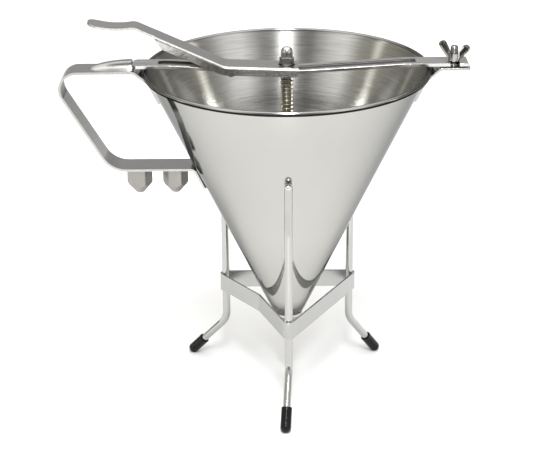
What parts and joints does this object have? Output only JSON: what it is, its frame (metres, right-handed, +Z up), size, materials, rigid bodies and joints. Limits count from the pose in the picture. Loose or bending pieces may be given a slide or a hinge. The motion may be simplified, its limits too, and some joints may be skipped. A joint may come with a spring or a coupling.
{
  "type": "dosing funnel with stand",
  "caption": "Sheet-metal dosing funnel with a strip handle, a thumb lever that lifts a sprung plunger off the outlet nozzle, spare nozzles under the handle, and a wire stand.",
  "frame": {"origin": "on the floor, under the funnel's axis", "axes": "+Z up along the funnel's axis, +X from the handle to the wing nut, -Y towards the single front leg"},
  "size_m": [0.2556, 0.18, 0.2498],
  "materials": {
    "funnel_sheet": "mirror polished outside, fine brushing round the inside",
    "strip_steel": "satin with bright rounded edges",
    "lever_steel": "satin with bright rounded edges",
    "turned_steel": "turned",
    "nut_steel": "polished",
    "nozzle_steel": "satin, turned from hexagon bar",
    "spring_steel": "drawn wire",
    "stand_steel": "bright polished",
    "foot_vinyl": "glossy dipped black"
  },
  "bodies": {
    "stand": {"stand_band": "stand_steel", "leg_front": "stand_steel", "leg_left": "stand_steel", "leg_right": "stand_steel", "foot_cap_front": "foot_vinyl", "foot_cap_left": "foot_vinyl", "foot_cap_right": "foot_vinyl"},
    "funnel": {"funnel_cone": "funnel_sheet", "outlet_spigot": "turned_steel", "handle_strip": "strip_steel", "storage_spigot_outer": "turned_steel", "storage_spigot_inner": "turned_steel", "ear_bracket": "strip_steel", "ear_stud": "turned_steel", "crossbar": "strip_steel", "return_spring": "spring_steel"},
    "lever": {"lever": "lever_steel"},
    "plunger": {"plunger_rod": "turned_steel", "cap_nut": "nut_steel", "spring_collar": "turned_steel", "collar_pin": "turned_steel"},
    "wing_nut": {"wing_nut": "nut_steel"},
    "nozzle": {"nozzle_fitted": "nozzle_steel"},
    "spare_outer": {"nozzle_spare_outer": "nozzle_steel"},
    "spare_inner": {"nozzle_spare_inner": "nozzle_steel"}
  },
  "joints": [
    {"name": "funnel_lift", "type": "slide", "parent": "stand", "child": "funnel", "axis": [0, 0, 1], "range_m": [0, 0.15]},
    {"name": "lever_rock", "type": "hinge", "parent": "funnel", "child": "lever", "pos_m": [-0.036, 0, 0.23211], "axis": [0, -1, 0], "range_deg": [0, 14]},
    {"name": "plunger_lift", "type": "slide", "parent": "funnel", "child": "plunger", "axis": [0, 0, 1], "range_m": [0, 0.00992], "stiffness_N_per_m": 300, "springref_m": -0.02, "deforming": ["return_spring"]},
    {"name": "wing_nut_turn", "type": "hinge", "parent": "funnel", "child": "wing_nut", "pos_m": [0.104, 0, 0.225], "axis": [0, 0, 1], "continuous": true},
    {"name": "nozzle_off", "type": "slide", "parent": "funnel", "child": "nozzle", "axis": [0, 0, -1], "range_m": [0, 0.016]},
    {"name": "spare_outer_off", "type": "slide", "parent": "funnel", "child": "spare_outer", "axis": [0, 0, -1], "range_m": [0, 0.012]},
    {"name": "spare_inner_off", "type": "slide", "parent": "funnel", "child": "spare_inner", "axis": [0, 0, -1], "range_m": [0, 0.012]}
  ],
  "couplings": [
    {"joint": "lever_rock", "follows": "plunger_lift", "rad_per_m": 24.62}
  ]
}
